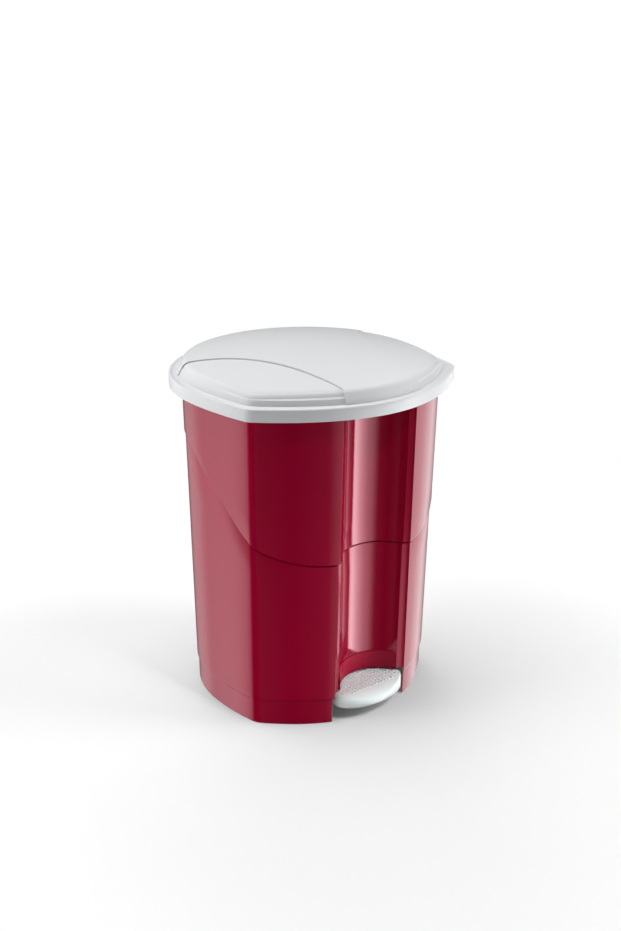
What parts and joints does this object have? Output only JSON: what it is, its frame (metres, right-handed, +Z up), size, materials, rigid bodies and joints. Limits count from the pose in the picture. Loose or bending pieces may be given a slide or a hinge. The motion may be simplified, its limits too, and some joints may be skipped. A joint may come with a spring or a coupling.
{
  "type": "pedal waste bin",
  "caption": "Red plastic pedal bin with a toe channel, a white domed lid that a foot pedal lifts through a lever and push rod, and a lift-out bucket with a wire bail.",
  "frame": {"origin": "middle of the bounding box on the floor plane, at the bottom edge of the outer body", "axes": "+Z up, -Y to the front (pedal and toe channel), +X to the right seen from the front"},
  "size_m": [0.2996, 0.3078, 0.401],
  "materials": {
    "red_gloss_plastic": "glossy injection-moulded, deep crimson",
    "white_plastic": "satin to glossy moulded white",
    "grey_plastic": "plain moulded grey",
    "zinc_steel": "drawn wire and bar, zinc plated"
  },
  "bodies": {
    "base": {"outer_body": "red_gloss_plastic", "hinge_bracket": "white_plastic", "bracket_screw_left": "zinc_steel", "bracket_screw_right": "zinc_steel", "hinge_pin": "zinc_steel", "hinge_pin_cap_left": "grey_plastic", "hinge_pin_cap_right": "grey_plastic", "pedal_axle": "zinc_steel", "axle_clip_left": "zinc_steel", "axle_clip_right": "zinc_steel", "rod_guide_lower": "grey_plastic", "rod_guide_upper": "grey_plastic"},
    "lid": {"lid": "white_plastic"},
    "pedal": {"pedal_plate": "white_plastic", "pedal_lever": "white_plastic", "pedal_screw_front": "zinc_steel", "pedal_screw_back": "zinc_steel"},
    "rod": {"push_rod": "zinc_steel", "rod_foot": "grey_plastic", "rod_cap": "grey_plastic"},
    "bucket": {"inner_bucket": "grey_plastic"},
    "bail": {"bail_handle": "zinc_steel", "bail_grip": "white_plastic"}
  },
  "joints": [
    {"name": "lid_hinge", "type": "hinge", "parent": "base", "child": "lid", "pos_m": [0, 0.14739, 0.3695], "axis": [-1, 0, 0], "range_deg": [0, 70]},
    {"name": "pedal_pivot", "type": "hinge", "parent": "base", "child": "pedal", "pos_m": [0, -0.0346, 0.018], "axis": [1, 0, 0], "range_deg": [0, 8.9]},
    {"name": "rod_slide", "type": "slide", "parent": "base", "child": "rod", "axis": [0, 0, 1], "range_m": [0, 0.0235]},
    {"name": "bucket_lift", "type": "slide", "parent": "base", "child": "bucket", "axis": [0, 0, 1], "range_m": [0, 0.005]},
    {"name": "bail_swing", "type": "hinge", "parent": "bucket", "child": "bail", "pos_m": [0, 0.00739, 0.3555], "axis": [-1, 0, 0], "range_deg": [0, 5]}
  ],
  "couplings": [
    {"joint": "pedal_pivot", "follows": "lid_hinge", "ratio": 0.1257},
    {"joint": "rod_slide", "follows": "lid_hinge", "m_per_rad": 0.019}
  ]
}
